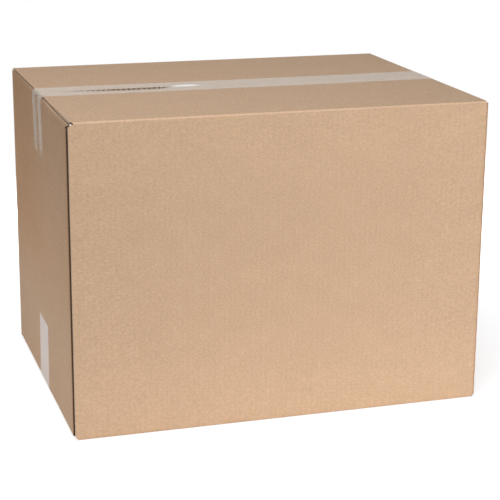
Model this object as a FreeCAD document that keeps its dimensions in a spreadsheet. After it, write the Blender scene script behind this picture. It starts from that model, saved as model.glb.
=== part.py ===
import FreeCAD, Part
import math
import os
import Sketcher

# A closed shipping carton of the regular slotted kind, about 618 x 465 x 457 mm outside.
# One sheet of single-wall corrugated board makes all of it: four panels in a ring, closed by a glued tab
# behind the front panel's left edge, with two long flaps and two short flaps folded in at each end.
# A strip of clear packing tape shuts the top seam and another shuts the bottom seam, each with a tail
# turned down over both end panels.
#
# The frame: +X runs along the length and the seams, -Y is the wide front panel, +Z is up.
# The origin is the middle of the underside of the bottom tape, which is what the carton stands on.

# Every driving size, in millimetres.
SIZES = {
    "box_length": 618.0,
    "box_width": 465.0,
    "box_height": 457.0,
    "board_thickness": 4.0,
    "inner_fold_radius": 1.0,
    "seam_gap": 3.0,
    "flap_clearance": 0.3,
    "slot_setback": 4.0,
    "short_flap_side_gap": 1.5,
    "joint_gap": 3.0,
    "joint_fold_radius": 2.5,
    "tab_width": 35.0,
    "tab_end_slope": 10.0,
    "flute_pitch": 7.8,
    "flute_web": 0.5,
    "liner_thickness": 0.6,
    "flute_depth": 5.0,
    "tape_width": 72.0,
    "tape_thickness": 0.1,
    "tape_edge_radius": 1.0,
    "top_tail": 95.0,
    "bottom_tail": 107.0,
}

# Lengths that several pieces share, as expressions on the sheet.
HALF_LENGTH = "sizes.box_length / 2"
HALF_WIDTH = "sizes.box_width / 2"
HALF_HEIGHT = "sizes.box_height / 2"
BOARD = "sizes.board_thickness"
INNER_RADIUS = "sizes.inner_fold_radius"
OUTER_RADIUS = "(sizes.inner_fold_radius + sizes.board_thickness)"
HALF_SEAM = "sizes.seam_gap / 2"
FLAP_REACH = "(sizes.box_width - sizes.seam_gap) / 2"
SHORT_FLAP_DROP = "(sizes.board_thickness + sizes.flap_clearance)"
SHORT_FLAP_LEVEL = HALF_HEIGHT + " - " + SHORT_FLAP_DROP
LONG_FLAP_HALF = "(" + HALF_LENGTH + " - sizes.slot_setback)"
SHORT_FLAP_HALF = "(" + HALF_WIDTH + " - sizes.board_thickness - sizes.short_flap_side_gap)"
SHARP = None


def make_sheet(doc):
    """Write the driving sizes to a spreadsheet, one alias each."""
    sheet = doc.addObject("Spreadsheet::Sheet", "sizes")
    for row, (alias, value) in enumerate(SIZES.items(), start=1):
        sheet.set("A%d" % row, alias)
        sheet.set("B%d" % row, str(value))
        sheet.setAlias("B%d" % row, alias)
    doc.recompute()
    return sheet


def make_body(doc, label):
    """Start a body whose label is its node's name."""
    body = doc.addObject("PartDesign::Body", label)
    body.Label = label
    return body


def add_sketch(body, name, plane_role, offset=None):
    """Put a sketch on one of the body's own origin planes, moved along that plane's normal if asked."""
    sketch = body.newObject("Sketcher::SketchObject", name)
    plane = [item for item in body.Origin.OriginFeatures if item.Role == plane_role][0]
    sketch.AttachmentSupport = [(plane, "")]
    sketch.MapMode = "FlatFace"
    if offset:
        sketch.setExpression("AttachmentOffset.Base.z", offset)
    return sketch


def bind(sketch, constraint, expression):
    """Add a dimension to a sketch and tie it to an expression."""
    index = sketch.addConstraint(constraint)
    sketch.setExpression("Constraints[%d]" % index, expression)


def distance(sketch, axis, geometry, point, expression):
    """Hold a point at a distance from the sketch's origin along X or Y."""
    value = float(sketch.evalExpression(expression))
    bind(sketch, Sketcher.Constraint("Distance" + axis, -1, 1, geometry, point, value), expression)


def radius(sketch, geometry, expression):
    """Hold an arc's radius."""
    value = float(sketch.evalExpression(expression))
    bind(sketch, Sketcher.Constraint("Radius", geometry, value), expression)


def corner_arc(corner, arriving, leaving, size):
    """Give the arc that rounds a corner, and which of its ends (1 or 2) meets the arriving edge."""
    centre = corner - arriving * size + leaving * size
    first = corner - arriving * size - centre
    last = corner + leaving * size - centre
    start = math.atan2(first.y, first.x)
    end = math.atan2(last.y, last.x)
    circle = Part.Circle(centre, FreeCAD.Vector(0, 0, 1), size)
    if arriving.x * leaving.y - arriving.y * leaving.x > 0:
        return Part.ArcOfCircle(circle, start, end), 1
    return Part.ArcOfCircle(circle, end, start), 2


def draw_outline(sketch, corners):
    """Draw a closed outline of level and upright edges.

    Each corner is (across, up, radius): three expressions, with SHARP for a corner that isn't rounded.
    """
    count = len(corners)
    places = [FreeCAD.Vector(float(sketch.evalExpression(across)), float(sketch.evalExpression(up)), 0)
              for across, up, _ in corners]
    sizes = [0.0 if size is SHARP else float(sketch.evalExpression(size)) for _, _, size in corners]
    ways = [(places[(i + 1) % count] - places[i]).normalize() for i in range(count)]
    edges = []
    for i in range(count):
        after = (i + 1) % count
        line = Part.LineSegment(places[i] + ways[i] * sizes[i], places[after] - ways[i] * sizes[after])
        edges.append(sketch.addGeometry(line))
    for i, (across, up, size) in enumerate(corners):
        upright = abs(ways[i].x) < 0.5
        sketch.addConstraint(Sketcher.Constraint("Vertical" if upright else "Horizontal", edges[i]))
        distance(sketch, "X" if upright else "Y", edges[i], 1, across if upright else up)
        before = edges[i - 1]
        if size is SHARP:
            sketch.addConstraint(Sketcher.Constraint("Coincident", before, 2, edges[i], 1))
            continue
        arc, near = corner_arc(places[i], ways[i - 1], ways[i], sizes[i])
        rounding = sketch.addGeometry(arc)
        sketch.addConstraint(Sketcher.Constraint("Tangent", before, 2, rounding, near))
        sketch.addConstraint(Sketcher.Constraint("Tangent", rounding, 3 - near, edges[i], 1))
        radius(sketch, rounding, size)


def draw_polygon(sketch, corners):
    """Draw a closed outline of straight edges through corners given as (across, up) expressions."""
    places = [FreeCAD.Vector(float(sketch.evalExpression(across)), float(sketch.evalExpression(up)), 0)
              for across, up in corners]
    edges = [sketch.addGeometry(Part.LineSegment(places[i - 1], places[i])) for i in range(len(places))]
    for i, (across, up) in enumerate(corners):
        after = (i + 1) % len(corners)
        sketch.addConstraint(Sketcher.Constraint("Coincident", edges[i], 2, edges[after], 1))
        distance(sketch, "X", edges[i], 2, across)
        distance(sketch, "Y", edges[i], 2, up)


def pad(body, name, sketch, length, both_ways=False):
    """Pad a sketch along its normal, or half to each side."""
    feature = body.newObject("PartDesign::Pad", name)
    feature.Profile = sketch
    feature.SideType = "Symmetric" if both_ways else "One side"
    feature.setExpression("Length", length)
    return feature


def pocket(body, name, sketch, length):
    """Cut a sketch half to each side of its plane."""
    feature = body.newObject("PartDesign::Pocket", name)
    feature.Profile = sketch
    feature.SideType = "Symmetric"
    feature.setExpression("Length", length)
    return feature


def panel_ring(body):
    """Pad the four panels round the box, with the raw edge and the glued corner at the front left."""
    sketch = add_sketch(body, "panel_outline", "XY_Plane")
    raw_edge = "-" + HALF_LENGTH + " + sizes.joint_gap"
    behind_front = "-" + HALF_WIDTH + " + " + BOARD
    draw_outline(sketch, [
        (raw_edge, "-" + HALF_WIDTH, SHARP),
        (HALF_LENGTH, "-" + HALF_WIDTH, OUTER_RADIUS),
        (HALF_LENGTH, HALF_WIDTH, OUTER_RADIUS),
        ("-" + HALF_LENGTH, HALF_WIDTH, OUTER_RADIUS),
        ("-" + HALF_LENGTH, behind_front, "sizes.joint_fold_radius"),
        (raw_edge, behind_front, SHARP),
    ])
    inner_length = "(" + HALF_LENGTH + " - " + BOARD + ")"
    inner_width = "(" + HALF_WIDTH + " - " + BOARD + ")"
    round_the_box = (("-", "-"), ("", "-"), ("", ""), ("-", ""))
    draw_outline(sketch, [(x + inner_length, y + inner_width, INNER_RADIUS) for x, y in round_the_box])
    pad(body, "panels", sketch, "sizes.box_height - 2 * " + OUTER_RADIUS, both_ways=True)


def short_flap_notches(body):
    """Lower the end panels to where their short flaps start to fold, leaving the slots' corners."""
    sketch = add_sketch(body, "notch_outline", "YZ_Plane")
    for sign in ("", "-"):
        fold_start = sign + "(" + SHORT_FLAP_LEVEL + " - " + OUTER_RADIUS + ")"
        above_all = sign + HALF_HEIGHT
        draw_outline(sketch, [
            ("-" + SHORT_FLAP_HALF, fold_start, SHARP),
            (SHORT_FLAP_HALF, fold_start, SHARP),
            (SHORT_FLAP_HALF, above_all, SHARP),
            ("-" + SHORT_FLAP_HALF, above_all, SHARP),
        ])
    pocket(body, "notches", sketch, "sizes.box_length + 2 * " + BOARD)


def flap_wrap(sketch, side, half_span, level, tip):
    """Draw one panel in section with the flap folded in at its top and at its bottom."""
    outer = side + "(" + half_span + ")"
    inner = side + "(" + half_span + " - " + BOARD + ")"
    top = "(" + level + ")"
    under = "(" + level + " - " + BOARD + ")"
    draw_outline(sketch, [
        (outer, "-" + top, OUTER_RADIUS),
        (outer, top, OUTER_RADIUS),
        (tip, top, SHARP),
        (tip, under, SHARP),
        (inner, under, INNER_RADIUS),
        (inner, "-" + under, INNER_RADIUS),
        (tip, "-" + under, SHARP),
        (tip, "-" + top, SHARP),
    ])


def long_flaps(body):
    """Pad the front and back panels with their long flaps, which meet at the seams."""
    sketch = add_sketch(body, "long_flap_section", "YZ_Plane")
    for side in ("-", ""):
        flap_wrap(sketch, side, HALF_WIDTH, HALF_HEIGHT, side + HALF_SEAM)
    pad(body, "long_flaps", sketch, "2 * " + LONG_FLAP_HALF, both_ways=True)


def short_flaps(body):
    """Pad the end panels with their short flaps, which lie under the long ones."""
    sketch = add_sketch(body, "short_flap_section", "XZ_Plane")
    for side in ("-", ""):
        tip = side + "(" + HALF_LENGTH + " - " + FLAP_REACH + ")"
        flap_wrap(sketch, side, HALF_LENGTH, SHORT_FLAP_LEVEL, tip)
    pad(body, "short_flaps", sketch, "2 * " + SHORT_FLAP_HALF, both_ways=True)


def glue_tab(body):
    """Pad the tab that the left panel turns in behind the front panel, with its ends cut on a slope."""
    behind = HALF_WIDTH + " - 2 * " + BOARD
    sketch = add_sketch(body, "tab_outline", "XZ_Plane", offset=behind)
    root = "-" + HALF_LENGTH + " + " + BOARD
    tip = "-" + HALF_LENGTH + " + sizes.tab_width"
    root_level = "(" + SHORT_FLAP_LEVEL + " - " + OUTER_RADIUS + ")"
    tip_level = "(" + SHORT_FLAP_LEVEL + " - " + OUTER_RADIUS + " - sizes.tab_end_slope)"
    lower_end = [(root, "-" + root_level), (tip, "-" + tip_level)]
    upper_end = [(tip, tip_level), (root, root_level)]
    draw_polygon(sketch, lower_end + upper_end)
    pad(body, "tab", sketch, BOARD)


def flute_cell(sketch, middle, base, apex):
    """Draw one open flute end: a triangle with its base along a liner."""
    half_base = "(sizes.flute_pitch / 2 - sizes.flute_web)"
    corners = [(middle + " - " + half_base, base), (middle + " + " + half_base, base), (middle, apex)]
    draw_polygon(sketch, corners)


def flute_ends(doc, body):
    """Open the flutes along the long flaps' free edges, at both seams."""
    sketch = add_sketch(body, "flute_cells", "XZ_Plane")
    upper = "(" + HALF_HEIGHT + " - sizes.liner_thickness)"
    lower = "(" + HALF_HEIGHT + " - " + BOARD + " + sizes.liner_thickness)"
    first = "-" + LONG_FLAP_HALF + " + sizes.flute_pitch / 2"
    second = first + " + sizes.flute_pitch / 2"
    for sign in ("", "-"):
        flute_cell(sketch, first, sign + upper, sign + "(" + lower + " + sizes.flute_web)")
        flute_cell(sketch, second, sign + lower, sign + "(" + upper + " - sizes.flute_web)")
    cells = pocket(body, "first_flute", sketch, "sizes.seam_gap + 2 * sizes.flute_depth")
    doc.recompute()
    row = body.newObject("PartDesign::LinearPattern", "flutes")
    row.Originals = [cells]
    row.Direction = ([item for item in body.Origin.OriginFeatures if item.Role == "X_Axis"][0], [""])
    row.Mode = "Spacing"
    row.setExpression("Offset", "sizes.flute_pitch")
    row.setExpression("Occurrences", "floor(2 * " + LONG_FLAP_HALF + " / sizes.flute_pitch) - 1")
    body.Tip = row


def make_carton(doc):
    """Build the folded and glued board as one solid, centred, and stand it on the bottom tape."""
    body = make_body(doc, "carton")
    panel_ring(body)
    short_flap_notches(body)
    long_flaps(body)
    short_flaps(body)
    glue_tab(body)
    flute_ends(doc, body)
    body.setExpression("Placement.Base.z", "sizes.tape_thickness + sizes.box_height / 2")
    return body


def tangent_normal(first, first_radius, second, second_radius):
    """Give the outward direction square to the line that touches two circles on their outer side."""
    along = second - first
    lean = math.acos((first_radius - second_radius) / along.Length)
    heading = math.atan2(along.y, along.x)
    return FreeCAD.Vector(math.cos(heading + lean), math.sin(heading + lean), 0)


def tape_path(body, tail):
    """Sketch the board side of half a strip: along the seam, over the flap's end and down the panel."""
    sketch = add_sketch(body, body.Label + "_path", "XZ_Plane")
    edge_x = LONG_FLAP_HALF
    edge_radius = "sizes.tape_edge_radius"
    fold_x = HALF_LENGTH + " - " + OUTER_RADIUS
    fold_y = "-(" + SHORT_FLAP_DROP + " + " + OUTER_RADIUS + ")"
    number = {name: float(sketch.evalExpression(text)) for name, text in (
        ("edge_x", edge_x), ("edge_radius", edge_radius), ("fold_x", fold_x), ("fold_y", fold_y),
        ("fold_radius", OUTER_RADIUS), ("end_x", HALF_LENGTH), ("end_y", "-" + tail))}
    upward = FreeCAD.Vector(0, 0, 1)
    edge_centre = FreeCAD.Vector(number["edge_x"], -number["edge_radius"], 0)
    fold_centre = FreeCAD.Vector(number["fold_x"], number["fold_y"], 0)
    out = tangent_normal(edge_centre, number["edge_radius"], fold_centre, number["fold_radius"])
    turn = math.atan2(out.y, out.x)
    edge_circle = Part.Circle(edge_centre, upward, number["edge_radius"])
    fold_circle = Part.Circle(fold_centre, upward, number["fold_radius"])
    along = Part.LineSegment(FreeCAD.Vector(0, 0, 0), FreeCAD.Vector(number["edge_x"], 0, 0))
    over_edge = Part.ArcOfCircle(edge_circle, turn, math.pi / 2)
    leaves_edge = edge_centre + out * number["edge_radius"]
    meets_fold = fold_centre + out * number["fold_radius"]
    slant = Part.LineSegment(leaves_edge, meets_fold)
    over_fold = Part.ArcOfCircle(fold_circle, 0, turn)
    down = Part.LineSegment(FreeCAD.Vector(number["end_x"], number["fold_y"], 0),
                            FreeCAD.Vector(number["end_x"], number["end_y"], 0))
    shapes = (along, over_edge, slant, over_fold, down)
    seam, edge, bridge, fold, drop = [sketch.addGeometry(shape) for shape in shapes]
    sketch.addConstraint([
        Sketcher.Constraint("Coincident", seam, 1, -1, 1),
        Sketcher.Constraint("PointOnObject", seam, 2, -1),
        Sketcher.Constraint("Tangent", seam, 2, edge, 2),
        Sketcher.Constraint("Tangent", edge, 1, bridge, 1),
        Sketcher.Constraint("Tangent", bridge, 2, fold, 2),
        Sketcher.Constraint("Tangent", fold, 1, drop, 1),
        Sketcher.Constraint("Vertical", drop),
    ])
    distance(sketch, "X", seam, 2, edge_x)
    radius(sketch, edge, edge_radius)
    distance(sketch, "X", fold, 3, fold_x)
    distance(sketch, "Y", fold, 3, fold_y)
    radius(sketch, fold, OUTER_RADIUS)
    distance(sketch, "Y", drop, 2, "-" + tail)
    return sketch


def tape_section(body):
    """Sketch the strip's thin section at mid-length, standing on the board."""
    sketch = add_sketch(body, body.Label + "_section", "YZ_Plane")
    half = "sizes.tape_width / 2"
    width = float(sketch.evalExpression(half))
    thickness = float(sketch.evalExpression("sizes.tape_thickness"))
    corners = [(-width, 0), (width, 0), (width, thickness), (-width, thickness)]
    places = [FreeCAD.Vector(x, y, 0) for x, y in corners]
    edges = [sketch.addGeometry(Part.LineSegment(places[i - 1], places[i])) for i in range(len(places))]
    left, base, right, top = edges
    for first, second in ((left, base), (base, right), (right, top), (top, left)):
        sketch.addConstraint(Sketcher.Constraint("Coincident", first, 2, second, 1))
    for edge, kind in ((base, "Horizontal"), (top, "Horizontal"), (left, "Vertical"), (right, "Vertical")):
        sketch.addConstraint(Sketcher.Constraint(kind, edge))
    sketch.addConstraint(Sketcher.Constraint("PointOnObject", base, 1, -1))
    distance(sketch, "X", base, 1, "-" + half)
    distance(sketch, "X", base, 2, half)
    distance(sketch, "Y", top, 1, "sizes.tape_thickness")
    return sketch


def make_tape(doc, label, tail, level, turned):
    """Sweep half a strip of tape, mirror it, and lay it on the top or the underside of the carton."""
    body = make_body(doc, label)
    path = tape_path(body, tail)
    section = tape_section(body)
    half = body.newObject("PartDesign::AdditivePipe", label + "_half")
    half.Profile = section
    half.Spine = path
    doc.recompute()
    whole = body.newObject("PartDesign::Mirrored", label + "_whole")
    whole.Originals = [half]
    middle = [item for item in body.Origin.OriginFeatures if item.Role == "YZ_Plane"][0]
    whole.MirrorPlane = (middle, [""])
    body.Tip = whole
    turn = FreeCAD.Rotation(FreeCAD.Vector(1, 0, 0), turned)
    body.Placement = FreeCAD.Placement(FreeCAD.Vector(0, 0, 0), turn)
    body.setExpression("Placement.Base.z", level)
    return body


def check(doc, pieces):
    """Stop if any object failed or any piece isn't one valid solid."""
    for item in doc.Objects:
        if "Invalid" in item.State or "Error" in item.State:
            raise RuntimeError("%s failed: %s" % (item.Name, item.State))
    for piece in pieces:
        shape = piece.Shape
        if shape.isNull() or not shape.isValid() or len(shape.Solids) != 1:
            raise RuntimeError("%s isn't one valid solid" % piece.Label)
        box = shape.BoundBox
        print("%s: volume %.1f mm3, X %.2f..%.2f, Y %.2f..%.2f, Z %.2f..%.2f" % (
            piece.Label, shape.Volume, box.XMin, box.XMax, box.YMin, box.YMax, box.ZMin, box.ZMax))


def main():
    doc = FreeCAD.newDocument("closed_carton")
    make_sheet(doc)
    carton = make_carton(doc)
    top_tape = make_tape(doc, "top_tape", "sizes.top_tail", "sizes.tape_thickness + sizes.box_height", 0)
    bottom_tape = make_tape(doc, "bottom_tape", "sizes.bottom_tail", "sizes.tape_thickness", 180)
    doc.recompute()
    pieces = [carton, top_tape, bottom_tape]
    check(doc, pieces)
    os.makedirs("parts", exist_ok=True)
    for piece in pieces:
        piece.Shape.exportStep("parts/%s.step" % piece.Label)


main()
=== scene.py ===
"""A closed shipping carton of plain kraft corrugated board, taped along its top and bottom seams.

The board is one folded sheet, as a real carton is, with the flutes open where its flaps meet. Both
strips of tape are thin clear films that lie on it. Sizes are in metres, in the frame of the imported
model: +X along the seams, -Y the front panel, +Z up, and the origin in the middle of the underside.
"""
import logging
import math
from collections.abc import Callable, Iterable, Iterator
from contextlib import contextmanager
from dataclasses import dataclass, field
from enum import Enum

import bpy
from mathutils import Matrix, Vector
from mathutils.noise import noise


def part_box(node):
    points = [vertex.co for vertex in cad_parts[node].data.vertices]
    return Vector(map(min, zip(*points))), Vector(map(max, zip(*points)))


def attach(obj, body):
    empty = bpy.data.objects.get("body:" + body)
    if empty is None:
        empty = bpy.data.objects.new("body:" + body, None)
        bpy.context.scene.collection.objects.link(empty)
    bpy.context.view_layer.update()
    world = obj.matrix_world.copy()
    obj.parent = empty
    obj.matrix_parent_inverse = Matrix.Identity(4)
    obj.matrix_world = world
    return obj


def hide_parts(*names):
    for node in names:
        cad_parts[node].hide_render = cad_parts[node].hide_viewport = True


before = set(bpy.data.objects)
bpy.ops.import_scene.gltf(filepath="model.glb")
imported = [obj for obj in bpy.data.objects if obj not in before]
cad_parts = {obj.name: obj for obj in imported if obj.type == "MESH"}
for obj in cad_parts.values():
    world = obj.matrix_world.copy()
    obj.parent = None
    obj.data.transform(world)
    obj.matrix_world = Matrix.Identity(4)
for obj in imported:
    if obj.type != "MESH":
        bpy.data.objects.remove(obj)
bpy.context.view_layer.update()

Colour = tuple[float, float, float, float]
Place = tuple[float, float, float]
Span = tuple[float, float]

WHITE: Colour = (1.0, 1.0, 1.0, 1.0)
PAPER_SPECULAR = 0.2
HAIR = 0.00002  # Places closer than this count as one.
WELD = HAIR / 4  # Points closer than this are made one.
FACING = 0.9  # A face looks along an axis where this much of its normal does.
HALF_FACING = 0.5  # It looks more or less along it where this much does.

log = logging.getLogger("carton")


class Side(Enum):
    """Which end of an axis something is at."""

    LOW = -1
    HIGH = 1


class Kind(Enum):
    """What is picked on a mesh."""

    POINT = "VERT"
    EDGE = "EDGE"
    FACE = "FACE"


class Layer(Enum):
    """The material slots of the board, in the order that its mesh numbers them."""

    LINER = 0
    CUT = 1
    FLUTE = 2
    # Painted shade: the near-black finish at the glued corner.
    CREASE = 3


class Value:
    """One socket's value, which Python's operators turn into Math nodes."""

    def __init__(self, graph: "Graph", socket: bpy.types.NodeSocket | None) -> None:
        """Wrap a socket.

        Args:
            graph: The graph that new nodes are added to.
            socket: The output socket that holds the value.
        """
        self.graph = graph
        self.socket = socket

    def _math(self, operation: str, *inputs: "Value | float") -> "Value":
        """Add one Math node."""
        return self.graph.node("ShaderNodeMath", {"operation": operation}, dict(enumerate(inputs)))

    def __add__(self, other: "Value | float") -> "Value":
        """Give self + other."""
        return self._math("ADD", self, other)

    def __radd__(self, other: float) -> "Value":
        """Give other + self."""
        return self._math("ADD", other, self)

    def __sub__(self, other: "Value | float") -> "Value":
        """Give self - other."""
        return self._math("SUBTRACT", self, other)

    def __rsub__(self, other: float) -> "Value":
        """Give other - self."""
        return self._math("SUBTRACT", other, self)

    def __mul__(self, other: "Value | float") -> "Value":
        """Give self * other."""
        return self._math("MULTIPLY", self, other)

    def __gt__(self, other: "Value | float") -> "Value":
        """Give 1 where self is the greater, else 0."""
        return self._math("GREATER_THAN", self, other)

    def most(self, other: "Value | float") -> "Value":
        """Give the greater of the two."""
        return self._math("MAXIMUM", self, other)

    def sine(self) -> "Value":
        """Give the sine."""
        return self._math("SINE", self)

    def size(self) -> "Value":
        """Give the absolute value."""
        return self._math("ABSOLUTE", self)

    def swing(self, amount: float) -> "Value":
        """Turn a value around a half into one around nothing, amount wide."""
        return (self - 0.5) * amount

    def ramp(self, start: float, end: float) -> "Value":
        """Give 0 at start and 1 at end, eased between them and held outside.

        Args:
            start: The value that becomes 0.
            end: The value that becomes 1.

        Returns:
            The eased value.
        """
        settings = {"interpolation_type": "SMOOTHSTEP", "clamp": True}
        return self.graph.node("ShaderNodeMapRange", settings, {0: self, 1: start, 2: end, 3: 0.0, 4: 1.0})


@dataclass(frozen=True)
class Grain:
    """Smooth noise: its waves per metre, its finer layers, and how it is squeezed along each axis."""

    scale: float
    detail: float
    roughness: float
    squeeze: Place = (1.0, 1.0, 1.0)


class Graph:
    """A node tree, with one method that adds every kind of node."""

    def __init__(self, owner: bpy.types.Material | bpy.types.World) -> None:
        """Start with an empty tree.

        Args:
            owner: The material or the world that the tree belongs to.
        """
        owner.use_nodes = True
        self.owner = owner
        self.tree = owner.node_tree
        self.tree.nodes.clear()

    def node(self, kind: str, settings: dict[str, object], inputs: dict[int | str, object],
             output: int | str = 0) -> Value:
        """Add a node.

        Args:
            kind: The node's type.
            settings: Its own properties, set before its sockets.
            inputs: Values or links for its input sockets, by number or name.
            output: The output socket that is given back.

        Returns:
            The node's output.
        """
        made = self.tree.nodes.new(kind)
        for name, setting in settings.items():
            setattr(made, name, setting)
        for name, given in inputs.items():
            socket = made.inputs[name]
            if isinstance(given, Value):
                self.tree.links.new(given.socket, socket)
            else:
                socket.default_value = given
        return Value(self, made.outputs[output] if len(made.outputs) else None)

    def place(self, squeeze: Place = (1.0, 1.0, 1.0)) -> Value:
        """Give the place on the object, with each coordinate multiplied."""
        at = self.node("ShaderNodeTexCoord", {}, {}, "Object")
        return self.node("ShaderNodeVectorMath", {"operation": "MULTIPLY"}, {0: at, 1: squeeze})

    def split(self, vector: Value) -> tuple[Value, Value, Value]:
        """Give a vector's three numbers.

        Args:
            vector: The vector.

        Returns:
            Its X, Y and Z.
        """
        parts = self.tree.nodes.new("ShaderNodeSeparateXYZ")
        self.tree.links.new(vector.socket, parts.inputs[0])
        return tuple(Value(self, output) for output in parts.outputs)

    def grain(self, grain: Grain) -> Value:
        """Give smooth noise around a half.

        Args:
            grain: What the noise is like.

        Returns:
            The noise.
        """
        inputs = {"Vector": self.place(grain.squeeze), "Scale": grain.scale, "Detail": grain.detail,
                  "Roughness": grain.roughness}
        return self.node("ShaderNodeTexNoise", {}, inputs, "Fac")

    def blend(self, share: Value | float, first: object, second: object, way: str = "MIX") -> Value:
        """Mix two colours.

        Args:
            share: How much of the second there is.
            first: The first colour, as four numbers or an output.
            second: The second colour.
            way: How they are mixed.

        Returns:
            The mixed colour.
        """
        settings = {"data_type": "RGBA", "blend_type": way}
        return self.node("ShaderNodeMix", settings, {0: share, 6: first, 7: second}, 2)

    def shade(self, colour: object, amount: Value) -> Value:
        """Multiply a colour by a number."""
        grey = self.node("ShaderNodeCombineXYZ", {}, {0: amount, 1: amount, 2: amount})
        return self.blend(1.0, colour, grey, "MULTIPLY")

    def bump(self, strength: float, distance: float, height: Value) -> Value:
        """Turn a height into a bent normal."""
        return self.node("ShaderNodeBump", {}, {"Strength": strength, "Distance": distance, "Height": height})

    def finish(self, inputs: dict[str, object]) -> bpy.types.Material:
        """Close the graph with a Principled shader.

        Args:
            inputs: The shader's sockets by name.

        Returns:
            The material.
        """
        shader = self.node("ShaderNodeBsdfPrincipled", {}, inputs)
        self.node("ShaderNodeOutputMaterial", {}, {"Surface": shader})
        return self.owner


@dataclass(frozen=True)
class KraftLiner:
    """The outer liner: brown paper with long fibres, faint clouds and the flutes showing through.

    Its folds over the long panels carry a painted highlight above the middle, those over the end panels a
    painted shade, and the corner over the joint is torn: a pale spot under a painted shadow. The end
    panels are painted darker towards their top and back, the upright folds are painted darker, and the long
    panels are painted darker across their middle and lighter towards their top and bottom.
    """

    torn_corner: Place
    middle: float
    flute_pitch: float
    colour: Colour = (0.615, 0.412, 0.262, 1.0)
    pale: Colour = (0.70, 0.50, 0.345, 1.0)
    torn: Colour = (0.86, 0.80, 0.74, 1.0)
    gap_shadow: Colour = (0.07, 0.04, 0.022, 1.0)
    end_shade: Colour = (0.93, 0.82, 0.71, 1.0)
    turned: Colour = (0.82, 0.70, 0.60, 1.0)
    clouds: Grain = Grain(18.0, 4.0, 0.6, (1.0, 1.0, 1.6))
    mottle: Grain = Grain(290.0, 3.0, 0.65, (1.0, 1.0, 1.7))
    fibres: Grain = Grain(420.0, 3.0, 0.7, (1.0, 1.0, 9.0))
    specks: Grain = Grain(900.0, 1.0, 0.5, (1.0, 1.0, 2.0))
    patches: Grain = Grain(75.0, 3.0, 0.6)
    cloud_swing: float = 0.10
    mottle_swing: float = 0.60
    fibre_swing: float = 0.40
    flute_swing: float = 0.010
    speck_span: Span = (0.66, 0.76)
    speck_depth: float = 0.12
    pale_span: Span = (0.45, 0.8)
    pale_share: float = 0.22
    on_end: float = 0.7
    fold_highlight: float = 0.31
    fold_highlight_turn: Span = (0.34, 0.49)
    painted_shade: float = 0.34
    end_fold_shade_turn: Span = (0.15, 0.4)
    end_fold_shade_rise: Span = (0.3, 0.75)
    panel_edge_light: float = 0.10
    panel_edge_light_base: float = -0.025
    panel_edge_light_span: Span = (0.05, 0.23)
    panel_edge_light_turn: Span = (0.3, 0.9)
    end_shade_height: Span = (0.10, 0.25)
    end_shade_depth: Span = (-0.15, 0.15)
    end_shade_least: float = 0.5
    upright_shade_span: Span = (0.05, 0.3)
    torn_span: Span = (0.0010, 0.0020)
    gap_shadow_span: Span = (0.00391, 0.0046)
    height_shares: tuple[float, float, float] = (0.5, 0.35, 0.12)
    bump_strength: float = 0.35
    bump_distance: float = 0.00022
    roughness: float = 0.78
    roughness_swing: float = 0.2

    def build(self) -> bpy.types.Material:
        """Make the material.

        Returns:
            The material.
        """
        graph = Graph(bpy.data.materials.new("kraft_liner"))
        x, y, z = graph.split(graph.place())
        normal = graph.node("ShaderNodeTexCoord", {}, {}, "Normal")
        turn_x, turn_y, turn_z = (turn.size() for turn in graph.split(normal))
        along = x + (turn_x > self.on_end) * (y - x)
        flutes = (along * (2 * math.pi / self.flute_pitch)).sine()
        mottle = graph.grain(self.mottle)
        fibres = graph.grain(self.fibres)
        tone = 1.0 + graph.grain(self.clouds).swing(self.cloud_swing) + mottle.swing(self.mottle_swing)
        tone = tone + fibres.swing(self.fibre_swing) + flutes * self.flute_swing
        tone = tone - graph.grain(self.specks).ramp(*self.speck_span) * self.speck_depth
        # Painted highlight: the folds over the long panels, above the middle, are made paler.
        long_fold = (turn_y * turn_z).ramp(*self.fold_highlight_turn) * (z > self.middle)
        # Painted shade: the folds over the end panels are made darker.
        end_fold = turn_x.ramp(*self.end_fold_shade_turn) * turn_z.ramp(*self.end_fold_shade_rise)
        tone = tone + long_fold * self.fold_highlight - end_fold * self.painted_shade
        # Painted light and shade: the long panels are made darker across their middle and lighter towards
        # their top and bottom.
        panel_edge_light = (z - self.middle).size().ramp(*self.panel_edge_light_span) * self.panel_edge_light + self.panel_edge_light_base
        tone = tone + panel_edge_light * turn_y.ramp(*self.panel_edge_light_turn)
        light = graph.grain(self.patches).ramp(*self.pale_span) * self.pale_share
        colour = graph.shade(graph.blend(light, self.colour, self.pale), tone)
        # Painted shade: the end panels are made darker towards their top, most of all at the back.
        backward = y.ramp(*self.end_shade_depth) * (1.0 - self.end_shade_least) + self.end_shade_least
        brown = (turn_x > self.on_end) * z.ramp(*self.end_shade_height) * backward
        colour = graph.blend(brown, colour, self.end_shade, "MULTIPLY")
        # Painted shade: the upright corner folds are made darker and warmer.
        colour = graph.blend((turn_x * turn_y).ramp(*self.upright_shade_span), colour, self.turned, "MULTIPLY")
        colour = self._tear_and_shadow(graph, z, colour)
        of_fibres, of_mottle, of_flutes = self.height_shares
        height = fibres * of_fibres + mottle * of_mottle + flutes * of_flutes
        return graph.finish({
            "Base Color": colour,
            "Roughness": self.roughness + mottle.swing(self.roughness_swing),
            "Specular IOR Level": PAPER_SPECULAR,
            "Normal": graph.bump(self.bump_strength, self.bump_distance, height),
        })

    def _tear_and_shadow(self, graph: Graph, z: Value, colour: Value) -> Value:
        """Add the torn corner over the joint, with a painted shadow over it.

        Args:
            graph: The liner's graph.
            z: The height on the object.
            colour: The whole liner's colour.

        Returns:
            The colour with the pale spot and the painted shadow over it.
        """
        apart = graph.node("ShaderNodeVectorMath", {"operation": "DISTANCE"},
                           {0: graph.place(), 1: self.torn_corner}, "Value")
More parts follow.
